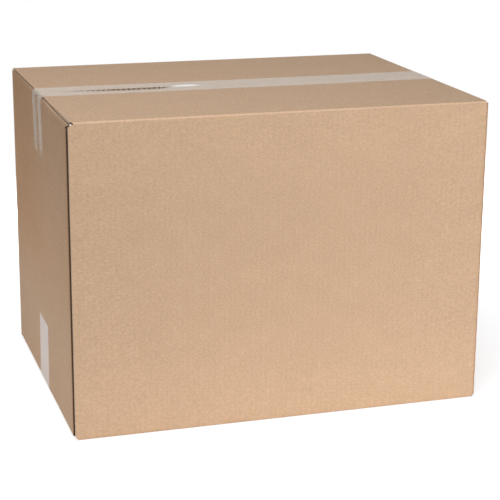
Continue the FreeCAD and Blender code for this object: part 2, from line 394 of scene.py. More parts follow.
        # Painted shadow: a dark arc above the torn spot.
        gap_shadow = (1.0 - apart.ramp(*self.gap_shadow_span)) * (z > self.torn_corner[2])
        colour = graph.blend(gap_shadow, colour, self.gap_shadow)
        return graph.blend(1.0 - apart.ramp(*self.torn_span), colour, self.torn)


@dataclass(frozen=True)
class CutBoard:
    """The board's raw cut edge: torn fluting between two liners, pale and rough."""

    colour: Colour = (0.88, 0.70, 0.53, 1.0)
    shadow: Colour = (0.68, 0.52, 0.385, 1.0)
    torn: Grain = Grain(900.0, 4.0, 0.7, (1.0, 1.0, 0.35))
    torn_span: Span = (0.42, 0.62)
    bump_strength: float = 0.8
    bump_distance: float = 0.0005
    roughness: float = 0.85
    roughness_swing: float = 0.1

    def build(self) -> bpy.types.Material:
        """Make the material.

        Returns:
            The material.
        """
        graph = Graph(bpy.data.materials.new("cut_board"))
        torn = graph.grain(self.torn)
        return graph.finish({
            "Base Color": graph.blend(torn.ramp(*self.torn_span), self.shadow, self.colour),
            "Roughness": self.roughness + torn.swing(self.roughness_swing),
            "Specular IOR Level": PAPER_SPECULAR,
            "Normal": graph.bump(self.bump_strength, self.bump_distance, torn),
        })


@dataclass(frozen=True)
class DarkPaper:
    """Brown paper painted near black as shade where no lamp reaches: an open flute's walls, or the fold at
    the glued corner.
    """

    name: str
    colour: Colour
    fibres: Grain = Grain(700.0, 3.0, 0.6)
    painted_shade: Grain = Grain(160.0, 2.0, 0.6, (1.0, 1.0, 0.6))
    tone: float = 0.55
    fibre_tone: float = 0.5
    painted_shade_tone: float = 0.4
    roughness: float = 0.86
    roughness_swing: float = 0.1

    def build(self) -> bpy.types.Material:
        """Make the material.

        Returns:
            The material.
        """
        graph = Graph(bpy.data.materials.new(self.name))
        fibres = graph.grain(self.fibres)
        tone = self.tone + fibres * self.fibre_tone + graph.grain(self.painted_shade) * self.painted_shade_tone
        return graph.finish({
            "Base Color": graph.shade(self.colour, tone),
            "Roughness": self.roughness + fibres.swing(self.roughness_swing),
            "Specular IOR Level": PAPER_SPECULAR,
        })


@dataclass(frozen=True)
class ClearFilm:
    """Clear packing tape: a pale veil where its glue holds, clear where it bridges the open seam."""

    name: str
    level: float
    side: Side
    veil: float = 0.45
    tail_veil: float = 0.30
    streaked: bool = False
    open_part: Span | None = None
    gleam: Span | None = None
    colour: Colour = (0.93, 0.79, 0.63, 1.0)
    milk: Colour = (0.97, 0.93, 0.88, 1.0)
    drawn: Grain = Grain(60.0, 3.0, 0.6, (1.0, 6.0, 6.0))
    patch: Grain = Grain(140.0, 4.0, 0.7, (0.7, 1.0, 1.0))
    fine: Grain = Grain(900.0, 2.0, 0.6)
    wander: Grain = Grain(60.0, 2.0, 0.5, (1.0, 1.2, 0.12))
    patch_swing: float = 0.12
    drawn_swing: float = 0.04
    fine_swing: float = 0.14
    tail_swing: float = 0.08
    over_edge: Span = (0.0015, 0.006)
    milk_span: Span = (0.45, 0.75)
    milk_share: float = 0.25
    clear_span: Span = (0.0017, 0.0029)
    opening: float = 0.105
    closing: float = 0.018
    clearness: float = 0.9
    streak_span: Span = (0.006, 0.010)
    streak_end: Span = (0.065, 0.099)
    streak_least: float = 0.12
    streak_share: float = 0.75
    streak_wander: float = 0.4
    gleam_half: float = 0.0075
    gleam_back: float = 0.004
    gleam_span: Span = (0.35, 1.0)
    gleam_veil: float = 0.97
    drawn_height: float = 0.4
    fine_height: float = 0.2
    bump_strength: float = 0.12
    bump_distance: float = 0.0001
    roughness: float = 0.24
    roughness_share: float = 0.2
    specular: float = 0.55
    ior: float = 1.49
    coat_roughness: float = 0.08
    coat_ior: float = 2.5

    def build(self) -> bpy.types.Material:
        """Make the material.

        Returns:
            The material.
        """
        graph = Graph(bpy.data.materials.new(self.name))
        x, y, z = graph.split(graph.place())
        away = (z - self.level) * -float(self.side.value)
        drawn = graph.grain(self.drawn)
        patch = graph.grain(self.patch)
        fine = graph.grain(self.fine)
        on_tail = away.ramp(*self.over_edge)
        veil = self.veil + patch.swing(self.patch_swing) + drawn.swing(self.drawn_swing)
        veil = veil + fine.swing(self.fine_swing)
        if self.open_part:
            veil = veil * (1.0 - self._bridging(x, y) * self.clearness * (1.0 - on_tail))
        shown = self.tail_veil + patch.swing(self.tail_swing)
        if self.streaked:
            shown = shown * self._streaks(graph, y, away)
        veil = veil + on_tail * (shown - veil)
        colour = graph.blend(patch.ramp(*self.milk_span) * self.milk_share, self.colour, self.milk)
        painted_gleam = 0.0
        # Painted highlight: a white, nearly opaque gleam on the film, with a clear coat over it.
        if self.gleam:
            painted_gleam = self._painted_gleam(x, y) * (1.0 - on_tail)
            veil = veil + painted_gleam * (self.gleam_veil - veil)
            colour = graph.blend(painted_gleam, colour, WHITE)
        height = drawn * self.drawn_height + fine * self.fine_height
        return graph.finish({
            "Base Color": colour,
            "Alpha": veil,
            "Roughness": self.roughness + patch * self.roughness_share,
            "Specular IOR Level": self.specular,
            "IOR": self.ior,
            "Coat Weight": painted_gleam,
            "Coat Roughness": self.coat_roughness,
            "Coat IOR": self.coat_ior,
            "Normal": graph.bump(self.bump_strength, self.bump_distance, height),
        })

    def _bridging(self, x: Value, y: Value) -> Value:
        """Find where the film bridges the open part of the seam and touches no board.

        Args:
            x: The place along the seam.
            y: The place across it.

        Returns:
            1 there, else 0.
        """
        start, end = self.open_part
        inside = x.ramp(start, start + self.opening) * (1.0 - x.ramp(end - self.closing, end))
        return (1.0 - y.size().ramp(*self.clear_span)) * inside

    def _streaks(self, graph: Graph, y: Value, away: Value) -> Value:
        """Draw the two pale streaks down a tail, where the glue has let go on each side of its middle.

        Args:
            graph: The film's graph.
            y: The place across the tail.
            away: How far down the tail.

        Returns:
            What the tail's veil is multiplied by.
        """
        band = y.size().ramp(*self.streak_span) * (1.0 - away.ramp(*self.streak_end))
        return self.streak_least + band * (self.streak_share + graph.grain(self.wander) * self.streak_wander)

    def _painted_gleam(self, x: Value, y: Value) -> Value:
        """Paint a long white highlight on the film beside the open part of the seam.

        Args:
            x: The place along the seam.
            y: The place across it.

        Returns:
            1 on the painted highlight, else 0.
        """
        start, end = self.gleam
        along = (x - (start + end) / 2) * (2.0 / (end - start))
        across = (y - self.gleam_back) * (1.0 / self.gleam_half)
        return 1.0 - (along * along + across * across).ramp(*self.gleam_span)


class Bench:
    """The workbench: edit mode and modifiers for every piece, with the work picked by its place."""

    @staticmethod
    def clear() -> None:
        """Leave object mode with nothing selected."""
        if bpy.context.mode != "OBJECT":
            bpy.ops.object.mode_set(mode="OBJECT")
        bpy.ops.object.select_all(action="DESELECT")

    @staticmethod
    def take(piece: bpy.types.Object) -> None:
        """Select one object alone and make it the active one.

        Args:
            piece: The object.
        """
        Bench.clear()
        piece.select_set(True)
        bpy.context.view_layer.objects.active = piece

    @staticmethod
    @contextmanager
    def whole(piece: bpy.types.Object) -> Iterator[None]:
        """Hold a whole mesh selected in edit mode.

        Args:
            piece: The object.

        Yields:
            Nothing, while edit mode lasts.
        """
        Bench.take(piece)
        bpy.ops.object.mode_set(mode="EDIT")
        bpy.ops.mesh.select_all(action="SELECT")
        yield
        bpy.ops.object.mode_set(mode="OBJECT")

    @staticmethod
    @contextmanager
    def picked(piece: bpy.types.Object, kind: Kind, test: Callable[..., bool]) -> Iterator[int]:
        """Hold the parts of a mesh that pass a test selected in edit mode.

        Args:
            piece: The object.
            kind: What is tested.
            test: Takes a point's place or an edge's places, or a face's places and its normal.

        Yields:
            How many are selected, while edit mode lasts.
        """
        Bench.take(piece)
        bpy.ops.object.mode_set(mode="EDIT")
        bpy.ops.mesh.select_mode(type=kind.value)
        bpy.ops.mesh.select_all(action="DESELECT")
        bpy.ops.object.mode_set(mode="OBJECT")
        mesh = piece.data
        places = [vertex.co for vertex in mesh.vertices]
        if kind is Kind.POINT:
            chosen = [point for point in mesh.vertices if test(point.co)]
        elif kind is Kind.EDGE:
            chosen = [edge for edge in mesh.edges if test([places[i] for i in edge.vertices])]
        else:
            chosen = [face for face in mesh.polygons
                      if test([places[i] for i in face.vertices], face.normal)]
        for element in chosen:
            element.select = True
        bpy.ops.object.mode_set(mode="EDIT")
        yield len(chosen)
        bpy.ops.object.mode_set(mode="OBJECT")

    @staticmethod
    def drop_faces(piece: bpy.types.Object, test: Callable[..., bool]) -> None:
        """Delete the faces of a mesh that pass a test.

        Args:
            piece: The object.
            test: Takes a face's places and its normal.
        """
        with Bench.picked(piece, Kind.FACE, test) as found:
            if found:
                bpy.ops.mesh.delete(type="FACE")

    @staticmethod
    def cut(piece: bpy.types.Object, axis: int, levels: Iterable[float]) -> None:
        """Cut a whole mesh across an axis at several levels.

        Args:
            piece: The object.
            axis: 0, 1 or 2.
            levels: Where the cuts lie.
        """
        normal = [float(i == axis) for i in range(3)]
        with Bench.whole(piece):
            for level in levels:
                bpy.ops.mesh.select_all(action="SELECT")
                bpy.ops.mesh.bisect(plane_co=[level * part for part in normal], plane_no=normal)

    @staticmethod
    def close_up(piece: bpy.types.Object) -> None:
        """Weld a mesh's doubled points and make its normals agree.

        Args:
            piece: The object.
        """
        with Bench.whole(piece):
            bpy.ops.mesh.remove_doubles(threshold=WELD)
            bpy.ops.mesh.normals_make_consistent(inside=False)

    @staticmethod
    def turn_over(piece: bpy.types.Object) -> None:
        """Turn every normal of a mesh the other way."""
        with Bench.whole(piece):
            bpy.ops.mesh.flip_normals()

    @staticmethod
    def apply(piece: bpy.types.Object, kind: str, settings: dict[str, object]) -> None:
        """Add one modifier and apply it.

        Args:
            piece: The object.
            kind: The modifier's type.
            settings: Its properties.
        """
        Bench.take(piece)
        modifier = piece.modifiers.new(kind.lower(), kind)
        for name, setting in settings.items():
            setattr(modifier, name, setting)
        bpy.ops.object.modifier_apply(modifier=modifier.name)

    @staticmethod
    def seat(piece: bpy.types.Object) -> None:
        """Put the object at the origin, unturned and unscaled, with its place in its mesh."""
        Bench.take(piece)
        bpy.ops.object.transform_apply(location=True, rotation=True, scale=True)


def centre(places: list[Vector]) -> Vector:
    """Give the middle of some places."""
    return sum(places, Vector()) / len(places)


def eased(value: float, start: float, end: float) -> float:
    """Give 0 at start and 1 at end, eased between them.

    Args:
        value: The number to ease.
        start: Where it becomes 0.
        end: Where it becomes 1.

    Returns:
        A number from 0 to 1.
    """
    share = min(1.0, max(0.0, (value - start) / (end - start)))
    return share * share * (3.0 - 2.0 * share)


@dataclass
class Wear:
    """How handling has bent the board.

    The panels are drawn in a little, the front flap is low at the open seam, the rims at the three
    corners without a joint are pushed up, and the foot beside the joint is worn round.
    """

    half_length: float
    half_width: float
    low: float
    high: float
    fold: float = 0.005
    skin: float = 0.012
    bow: float = 0.0016
    sag: float = 0.0006
    ripple: float = 0.00035
    ripple_scale: float = 9.0
    step: float = 0.0020
    open_from: float = -0.300
    open_full: float = -0.185
    close_from: float = -0.128
    close_to: float = -0.092
    reach: float = 0.034
    short_reach: float = 0.06
    short_level: float = 0.00415
    fold_reach: float = 0.0052
    fold_height: float = 0.0051
    flap_depth: float = 0.0041
    short_drop: float = 0.0014
    short_drop_span: Span = (0.02, 0.20)
    short_rise: float = 0.0024
    short_rise_span: Span = (-0.20, -0.05)
    short_outside: Span = (0.0005, 0.0038)
    rim_push: float = 0.0046
    rim_depth: float = 0.0039
    rim_height: Span = (0.0085, 0.0050)
    worn_height: float = 0.008
    worn_in: float = 0.006
    worn_edge: float = 0.0025
    worn_depth: float = 0.0045
    worn_along: Span = (0.003, 0.017)
    worn_behind: Span = (0.0042, 0.014)
    skew: float = 0.0012
    skew_edge: float = 0.0038
    skew_span: Span = (0.0105, 0.0045)
    taped_half: float = 0.038

    @property
    def middle(self) -> float:
        """The height of the board's middle."""
        return (self.low + self.high) / 2

    def seam_drop(self, at: Vector) -> float:
        """Give how far the front flap hangs below the back one, and the short flap under both with it.

        Args:
            at: The point on the flat carton.

        Returns:
            The drop in metres.
        """
        opening = eased(at.x, self.open_from, self.open_full)
        closing = 1.0 - eased(at.x, self.close_from, self.close_to)
        if at.y < 0.0:
            across = eased(at.y, -self.reach, 0.0)
        elif at.z < self.high - self.short_level:
            across = 1.0 - eased(at.y, 0.0, self.short_reach)
        else:
            across = 0.0
        return self.step * opening * closing * across

    def bend(self, at: Vector) -> Vector:
        """Give where a point of the board goes.

        Args:
            at: The point on the flat carton.

        Returns:
            The point on the worn one.
        """
        along = max(0.0, 1.0 - (at.x / self.half_length) ** 2)
        across = max(0.0, 1.0 - (at.y / self.half_width) ** 2)
        upright = max(0.0, 1.0 - ((at.z - self.middle) / (self.high - self.middle)) ** 2)
        wave = abs(noise(at * self.ripple_scale) * self.ripple)
        moved = at.copy()
        if abs(at.y) > self.half_width - self.skin:
            moved.y -= math.copysign(self.bow * along * upright + wave * upright, at.y)
        if abs(at.x) > self.half_length - self.skin:
            moved.x -= math.copysign(self.bow * across * upright + wave * upright, at.x)
        if at.z > self.high - self.skin:
            moved.z -= self.seam_drop(at) + self.sag * along * across + wave * along * across
        if self._on_short_fold(at):
            outside = 1.0 - eased(self.half_length - abs(at.x), *self.short_outside)
            on_flap = abs(at.y) < self.half_width - self.fold_reach
            moved.z -= self.short_drop * eased(-at.y, *self.short_drop_span)
            moved.z += self.short_rise * outside * eased(at.y, *self.short_rise_span) * on_flap
        moved.z += self.rim_push * self._spare_corner(at)
        moved.x += self._worn_foot(at)
        moved.x -= math.copysign(self.skew, at.y) * eased(abs(at.y), self.taped_half, self.half_width) \
            * self._left_flap_end(at)
        return moved

    def _on_short_fold(self, at: Vector) -> bool:
        """Tell whether a point lies where a top short flap folds, under the long ones."""
        at_end = abs(at.x) > self.half_length - self.skin
        return at_end and self.high - self.skin < at.z < self.high - self.short_level

    def _spare_corner(self, at: Vector) -> float:
        """Find the rims that the closed flaps push up at the three corners without a joint.

        Args:
            at: The point on the flat carton.

        Returns:
            1 on their outer sides, less towards the ends, and 0 elsewhere.
        """
        out_x = abs(at.x) - (self.half_length - self.fold)
        out_y = abs(at.y) - (self.half_width - self.fold)
        if (at.x < 0.0 and at.y < 0.0) or out_x < self.fold - self.rim_depth or out_y < 0.0:
            return 0.0
        start, full = self.rim_height
        return out_y / math.hypot(out_x, out_y) * eased(at.z, self.high - start, self.high - full)

    def _worn_foot(self, at: Vector) -> float:
        """Give how far the front panel's lower left corner is worn round, beside the joint.

        Args:
            at: The point on the flat carton.

        Returns:
            How far the point goes in from the corner.
        """
        height = self.worn_height if at.y < -self.half_width + self.worn_depth else self.flap_depth
        if at.z > self.low + height or at.x < -self.half_length + self.worn_edge:
            return 0.0
        depth = 1.0 - (at.z - self.low) / self.worn_height
        start, end = self.worn_along
        along = 1.0 - eased(at.x, -self.half_length + start, -self.half_length + end)
        start, end = self.worn_behind
        behind = 1.0 - eased(at.y, -self.half_width + start, -self.half_width + end)
        return self.worn_in * (1.0 - math.sqrt(max(0.0, 1.0 - depth * depth))) * along * behind

    def _left_flap_end(self, at: Vector) -> float:
        """Find the left ends of the long top flaps, which aren't quite square.

        Args:
            at: The point on the flat carton.

        Returns:
            1 at the ends, and 0 elsewhere.
        """
        on_fold = abs(at.y) > self.half_width - self.fold_reach and at.z > self.high - self.fold_height
        on_flap = at.z > self.high - self.flap_depth or on_fold
        if not on_flap or at.x <= -self.half_length + self.skew_edge:
            return 0.0
        start, full = self.skew_span
        return eased(-at.x, self.half_length - start, self.half_length - full)


@dataclass
class CartonBoard:
    """The folded sheet: four panels, the glued tab, eight flaps and their open flutes."""

    half_length: float
    half_width: float
    low: float
    high: float
    wear: Wear
    board: float = 0.004
    fold: float = 0.005
    fold_steps: int = 6
    tab_fold: float = 0.0044
    tab_steps: int = 5
    tab_width: float = 0.035
    tab_slope: float = 0.010
    tab_turn: float = 0.05
    setback: float = 0.004
    joint_gap: float = 0.003
    joint_fold_share: float = 0.9
    crease_turn: float = 0.55
    half_seam: float = 0.0015
    flap_clearance: float = 0.0003
    short_gap: float = 0.0015
    near: float = 0.0002
    flute_pitch: float = 0.0078
    flute_depth: float = 0.006
    paper: float = 0.0005
    cell_sides: int = 12
    cell_half: float = 0.0027
    cell_depth: float = 0.0022
    lower_share: float = 0.62
    lip: float = 0.0005
    lip_depth: float = 0.00035
    grid: float = 0.0125
    band: tuple[float, ...] = (0.0045, 0.010, 0.020, 0.028, 0.036)
    first_row: float = 0.05
    flap_rows: int = 7
    upright_rows: int = 8
    torn_in: float = 0.0020
    torn_up: float = 0.0016
    smooth_angle: float = 35.0
    piece: bpy.types.Object | None = field(default=None, init=False)

    @property
    def middle(self) -> float:
        """The height of the carton's middle."""
        return (self.low + self.high) / 2

    @property
    def ring_top(self) -> float:
        """Where the long flaps start to fold, above the middle."""
        return self.high - self.fold

    @property
    def ring_base(self) -> float:
        """Where the long flaps start to fold, below."""
        return self.low + self.fold

    @property
    def short_drop(self) -> float:
        """How far the short flaps lie below the long ones."""
        return self.board + self.flap_clearance

    @property
    def short_top(self) -> float:
        """Where the short flaps start to fold, above the middle."""
        return self.ring_top - self.short_drop

    @property
    def short_base(self) -> float:
        """Where the short flaps start to fold, below."""
        return self.ring_base + self.short_drop

    @property
    def flap_end(self) -> float:
        """Half the length of a long flap."""
        return self.half_length - self.setback

    @property
    def short_half(self) -> float:
        """Half the width of a short flap."""
        return self.half_width - self.board - self.short_gap

    @property
    def travel(self) -> float:
        """How far every flap reaches in from the end of its fold."""
        return self.half_width - self.half_seam - self.fold

    @property
    def raw_edge(self) -> float:
        """Where the front panel ends beside the joint."""
        return -self.half_length + self.joint_gap

    @property
    def behind(self) -> float:
        """The tab's outer face, on the inner face of the front panel."""
        return -self.half_width + self.board

    def build(self) -> bpy.types.Object:
        """Model the board.

        Returns:
            The carton.
        """
        self._raise_ring()
        self._turn_in_tab()
        self._open_slots()
        for end in Side:
            for level in Side:
                self._fold_long_flap(end, level)
                self._fold_short_flap(end, level)
        self._divide()
        self._thicken()
        self._mark_joint_rims()
        self._hollow_cut_edges()
        self._open_flutes()
        self._handle()
        return self.piece

    def _raise_ring(self) -> None:
        """Raise the four panels from a cube without its ends, and round their upright folds."""
        Bench.clear()
        bpy.ops.mesh.primitive_cube_add(size=1.0, location=(0, 0, (self.ring_top + self.ring_base) / 2))
        self.piece = bpy.context.object
        self.piece.name = "carton_board"
        self.piece.scale = (2 * self.half_length, 2 * self.half_width, self.ring_top - self.ring_base)
        Bench.seat(self.piece)
        Bench.drop_faces(self.piece, lambda places, normal: abs(normal.z) > HALF_FACING)

        def sound_fold(ends: list[Vector]) -> bool:
            """Tell whether an edge stands upright, other than at the joint."""
            upright = abs(ends[0].x - ends[1].x) < HAIR and abs(ends[0].y - ends[1].y) < HAIR
            return upright and not self._over(ends, -self.half_length, -self.half_width)

        with Bench.picked(self.piece, Kind.EDGE, sound_fold):
            bpy.ops.mesh.bevel(offset=self.fold, segments=self.fold_steps, affect="EDGES")

    def _over(self, ends: list[Vector], x: float, y: float) -> bool:
        """Tell whether every point lies over one place on the floor."""
        return all(abs(point.x - x) < HAIR and abs(point.y - y) < HAIR for point in ends)

    def _turn_in_tab(self) -> None:
        """Open the front left corner and turn the left panel's tab in behind the front panel."""
        Bench.cut(self.piece, 0, [self.raw_edge])
        Bench.cut(self.piece, 1, [self.behind])

        def open_corner(places: list[Vector], normal: Vector) -> bool:
            """Tell whether a face lies in the corner that the sheet leaves open."""
            middle = centre(places)
            return middle.x < self.raw_edge and middle.y < self.behind

        def panel_end(ends: list[Vector]) -> bool:
            """Tell whether an edge is the left panel's end, where the tab begins."""
            return self._over(ends, -self.half_length, self.behind)

        Bench.drop_faces(self.piece, open_corner)
        with Bench.picked(self.piece, Kind.EDGE, panel_end):
            bpy.ops.mesh.extrude_region_move(TRANSFORM_OT_translate={"value": (self.tab_width, 0, 0)})
        with Bench.picked(self.piece, Kind.EDGE, panel_end):
            bpy.ops.mesh.bevel(offset=self.tab_fold, segments=self.tab_steps, affect="EDGES")

    def _open_slots(self) -> None:
        """Lower the end panels to where their short flaps fold, and slope the tab's ends."""
        tip = -self.half_length + self.tab_width
        Bench.cut(self.piece, 0, [-self.flap_end, self.flap_end])
        Bench.cut(self.piece, 1, [-self.short_half, self.short_half])
        Bench.cut(self.piece, 2, [self.short_base, self.short_top])

        def past_fold(places: list[Vector], normal: Vector) -> bool:
            """Tell whether a face is a part of an end panel or the tab that is cut away.

            Args:
                places: The places of the face's points.
                normal: Where the face looks.

            Returns:
                True where it goes.
            """
            middle = centre(places)
            on_end = abs(normal.x) > FACING and abs(middle.y) < self.short_half
            on_tab = -HAIR < middle.y - self.behind < self.tab_fold and normal.y < -self.tab_turn \
                and middle.x < tip
            return (on_end or on_tab) and not self.short_base < middle.z < self.short_top

        Bench.drop_faces(self.piece, past_fold)
        for level, way in ((self.short_top, -1), (self.short_base, 1)):

            def tab_corner(at: Vector, level: float = level) -> bool:
                """Tell whether a point is the tab's outer corner at this level."""
                return abs(at.x - tip) < HAIR and abs(at.z - level) < HAIR

            with Bench.picked(self.piece, Kind.POINT, tab_corner):
                bpy.ops.transform.translate(value=(0, 0, way * self.tab_slope))

    def _fold_long_flap(self, end: Side, level: Side) -> None:
        """Fold one long flap over its panel's edge and carry it to the seam.

        Args:
            end: LOW for the front panel's flap, HIGH for the back panel's.
            level: HIGH for the top, LOW for the bottom.
        """
        edge_z = self.ring_top if level is Side.HIGH else self.ring_base
        edge_y = end.value * self.half_width

        def panel_edge(ends: list[Vector]) -> bool:
            """Tell whether an edge is where the flap joins its panel."""
            return all(abs(point.z - edge_z) < HAIR and abs(point.y - edge_y) < self.near
                       and abs(point.x) < self.flap_end + HAIR for point in ends)

        with Bench.picked(self.piece, Kind.EDGE, panel_edge):
            bpy.ops.mesh.spin(steps=self.fold_steps, angle=math.pi / 2,
                              center=(0, edge_y - end.value * self.fold, edge_z),
                              axis=(-end.value * level.value, 0, 0))
            bpy.ops.mesh.extrude_region_move(
                TRANSFORM_OT_translate={"value": (0, -end.value * self.travel, 0)})

    def _fold_short_flap(self, end: Side, level: Side) -> None:
        """Fold one short flap in under the long ones.

        Args:
            end: LOW for the left panel's flap, HIGH for the right panel's.
            level: HIGH for the top, LOW for the bottom.
        """
        edge_z = self.short_top if level is Side.HIGH else self.short_base
        edge_x = end.value * self.half_length

        def panel_edge(ends: list[Vector]) -> bool:
            """Tell whether an edge is where the flap joins its panel."""
            return all(abs(point.z - edge_z) < HAIR and abs(point.x - edge_x) < self.near
                       and abs(point.y) < self.short_half + HAIR for point in ends)

        with Bench.picked(self.piece, Kind.EDGE, panel_edge):
            bpy.ops.mesh.spin(steps=self.fold_steps, angle=math.pi / 2,
                              center=(edge_x - end.value * self.fold, 0, edge_z),
                              axis=(0, end.value * level.value, 0))
            bpy.ops.mesh.extrude_region_move(
                TRANSFORM_OT_translate={"value": (-end.value * self.travel, 0, 0)})

    def _divide(self) -> None:
        """Cut the sheet into a grid that can bow."""
        wide = 2 * self.grid
        rows = [self.first_row + i * wide for i in range(self.flap_rows)]
        heights = [self.middle + (i + 0.5) * wide for i in range(-self.upright_rows, self.upright_rows)]
        Bench.cut(self.piece, 0, self.across_levels())
        Bench.cut(self.piece, 1, [side.value * level for side in Side for level in self.band])
        Bench.cut(self.piece, 1, [side.value * level for side in Side for level in rows])
        Bench.cut(self.piece, 2, heights)

    def across_levels(self) -> list[float]:
        """Give the places along X where the long flaps and the tapes on them are divided.

        Returns:
            The places from left to right, closer together where the open seam closes.
        """
        count = int((self.flap_end - self.fold) / self.grid)
        levels = [i * self.grid for i in range(-count, count + 1)]
        halves = [(i + 0.5) * self.grid for i in range(-count, count)]
        inner = -self.wear.close_to - self.grid
        outer = -self.wear.close_from + self.grid
        return sorted(levels + [level for level in halves if inner < abs(level) < outer])

    def _thicken(self) -> None:
        """Give the sheet its finishes, and its thickness inwards, with its rims as cut board."""
        Bench.close_up(self.piece)
        front = [face for face in self.piece.data.polygons
                 if abs(face.center.y + self.half_width) < HAIR]
        if max(front, key=lambda face: face.area).normal.y > 0:
            Bench.turn_over(self.piece)
        for finish in self._finishes().values():
            self.piece.data.materials.append(finish.build())
        self._mark_crease()
        Bench.apply(self.piece, "SOLIDIFY", {
            "thickness": self.board, "offset": -1.0, "use_even_offset": True,
            "use_rim": True, "material_offset_rim": Layer.CUT.value})

    def _finishes(self) -> dict[Layer, KraftLiner | CutBoard | DarkPaper]:
        """Give the board's finishes.

        Returns:
            Each layer's finish, in the order of the slots.
        """
        torn = (-self.flap_end + self.torn_in, -self.half_width, self.ring_top + self.torn_up)
        return {
            Layer.LINER: KraftLiner(torn, self.middle, self.flute_pitch),
            Layer.CUT: CutBoard(),
            # Painted shade: the open flutes' walls and the glued corner are coloured near black.
            Layer.FLUTE: DarkPaper("flute_wall", (0.15, 0.095, 0.055, 1.0)),
            Layer.CREASE: DarkPaper("painted_joint_shade", (0.085, 0.05, 0.028, 1.0)),
        }

    def _mark_crease(self) -> None:
        """Paint shade on the fold between the left panel and its tab, with its own near-black finish."""
        for face in self.piece.data.polygons:
            at = face.center
            near = at.x < -self.half_length + self.tab_fold and at.y < self.behind + self.tab_fold
            if near and face.normal.y < -self.crease_turn and at.y > self.behind - HAIR:
                face.material_index = Layer.CREASE.value

    def _mark_joint_rims(self) -> None:
        """Paint shade on the cut rims down in the joint and at the front flap's fold, with the same
        near-black finish.
        """
        joint_y = self.behind + self.tab_fold + HAIR
        fold_y = -self.half_width + self.fold
        fold_top = self.ring_top + self.joint_fold_share * self.fold
        for face in self.piece.data.polygons:
            at, normal = face.center, face.normal
            beside = at.x < -self.half_length + self.fold and at.y < joint_y
            on_tab = abs(normal.z) > HALF_FACING or normal.y < -HALF_FACING
            fold_end = normal.x < -FACING and self.ring_top < at.z < fold_top and at.y < fold_y
            if face.material_index == Layer.CUT.value and beside and (on_tab or fold_end):
                face.material_index = Layer.CREASE.value

    def _hollow_cut_edges(self) -> None:
        """Sink the fluting between the liners along the edges that are cut beside a flute."""

        def beside_flute(places: list[Vector], normal: Vector) -> bool:
            """Tell whether a rim face was cut along the flutes.

            Args:
                places: The places of the face's points.
                normal: Where the face looks.

            Returns:
                True where the fluting shows between two liners.
            """
            on_panel = self.ring_base < centre(places).z < self.ring_top
            if abs(normal.x) > FACING and all(abs(abs(point.x) - self.flap_end) < HAIR for point in places):
                return not on_panel
            on_joint = normal.x < -FACING and all(abs(point.x - self.raw_edge) < HAIR for point in places)
            return on_joint and on_panel

        with Bench.picked(self.piece, Kind.FACE, beside_flute) as found:
            log.info("faces cut along the flutes: %d", found)
            bpy.ops.mesh.inset(thickness=self.lip, depth=-self.lip_depth, use_even_offset=True)

    def _flute_cutter(self) -> bpy.types.Object:
        """Model the hollows on both sides of the wavy paper, and repeat them along a seam.

        Returns:
            The cutter, which reaches into both flaps of a seam.
        """
        Bench.clear()
        cells = []
        for side in Side:
            bpy.ops.mesh.primitive_cylinder_add(
                vertices=self.cell_sides, radius=1.0, depth=2 * (self.half_seam + self.flute_depth),
                rotation=(math.pi / 2, 0, 0))
            cell = bpy.context.object
            Bench.seat(cell)
            self._shape_cell(cell, side)
            cells.append(cell)
        Bench.clear()
        for cell in cells:
            cell.select_set(True)
        bpy.context.view_layer.objects.active = cells[0]
        bpy.ops.object.join()
        cutter = bpy.context.object
        count = int((2 * self.flap_end - self.flute_pitch) / self.flute_pitch)
        with Bench.whole(cutter):
            bpy.ops.transform.translate(value=(-self.flute_pitch * (count - 0.5) / 2, 0, 0))
        Bench.apply(cutter, "ARRAY", {
            "count": count, "use_relative_offset": False, "use_constant_offset": True,
            "constant_offset_displace": (self.flute_pitch, 0, 0)})
        Bench.close_up(cutter)
        return cutter

    def _shape_cell(self, cell: bpy.types.Object, side: Side) -> None:
        """Shape a round bar into the hollow between the wavy paper and one liner.

        Args:
            cell: The bar, with radius 1 about the Y axis.
            side: HIGH for the hollow under the upper liner, LOW for the one over the lower.
        """
        base = self.board / 2 - self.paper
        share = 1.0 if side is Side.HIGH else self.lower_share
        middle = self.flute_pitch / 2 if side is Side.HIGH else 0.0
        for vertex in cell.data.vertices:
            turn = math.atan2(vertex.co.z, vertex.co.x)
            across = math.cos(turn)
            inward = 0.0
            if math.sin(turn) < -HAIR:
                inward = self.cell_depth * share * (1.0 + math.cos(math.pi * across)) / 2
            vertex.co.x = self.cell_half * share * across + middle
            vertex.co.z = side.value * (base - inward)
        cell.data.update()

    def _open_flutes(self) -> None:
        """Cut the open flutes into the free edges of the long flaps, at both seams."""
        cutter = self._flute_cutter()
        cutter.data.materials.clear()
        cutter.data.materials.append(self.piece.data.materials[Layer.FLUTE.value])
        for level in (self.high - self.board / 2, self.low + self.board / 2):
            copy = cutter.copy()
            copy.data = cutter.data.copy()
            bpy.context.scene.collection.objects.link(copy)
            copy.location = (0, 0, level)
            Bench.seat(copy)
            Bench.apply(self.piece, "BOOLEAN", {
                "operation": "DIFFERENCE", "solver": "EXACT", "object": copy, "material_mode": "TRANSFER"})
            bpy.data.objects.remove(copy)
        bpy.data.objects.remove(cutter)
        around = self.half_seam + self.flute_depth + HAIR
        with Bench.picked(self.piece, Kind.POINT, lambda at: abs(at.y) < around):
            bpy.ops.mesh.remove_doubles(threshold=HAIR)

    def _handle(self) -> None:
        """Bend the flat board as handling has bent it."""
        for vertex in self.piece.data.vertices:
            vertex.co = self.wear.bend(vertex.co)
        self.piece.data.update()

    def dress(self) -> None:
        """Smooth the board's folds and let it stand for the CAD carton."""
        Bench.take(self.piece)
        bpy.ops.object.shade_smooth_by_angle(angle=math.radians(self.smooth_angle))
        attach(self.piece, "root")
        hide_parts("carton")


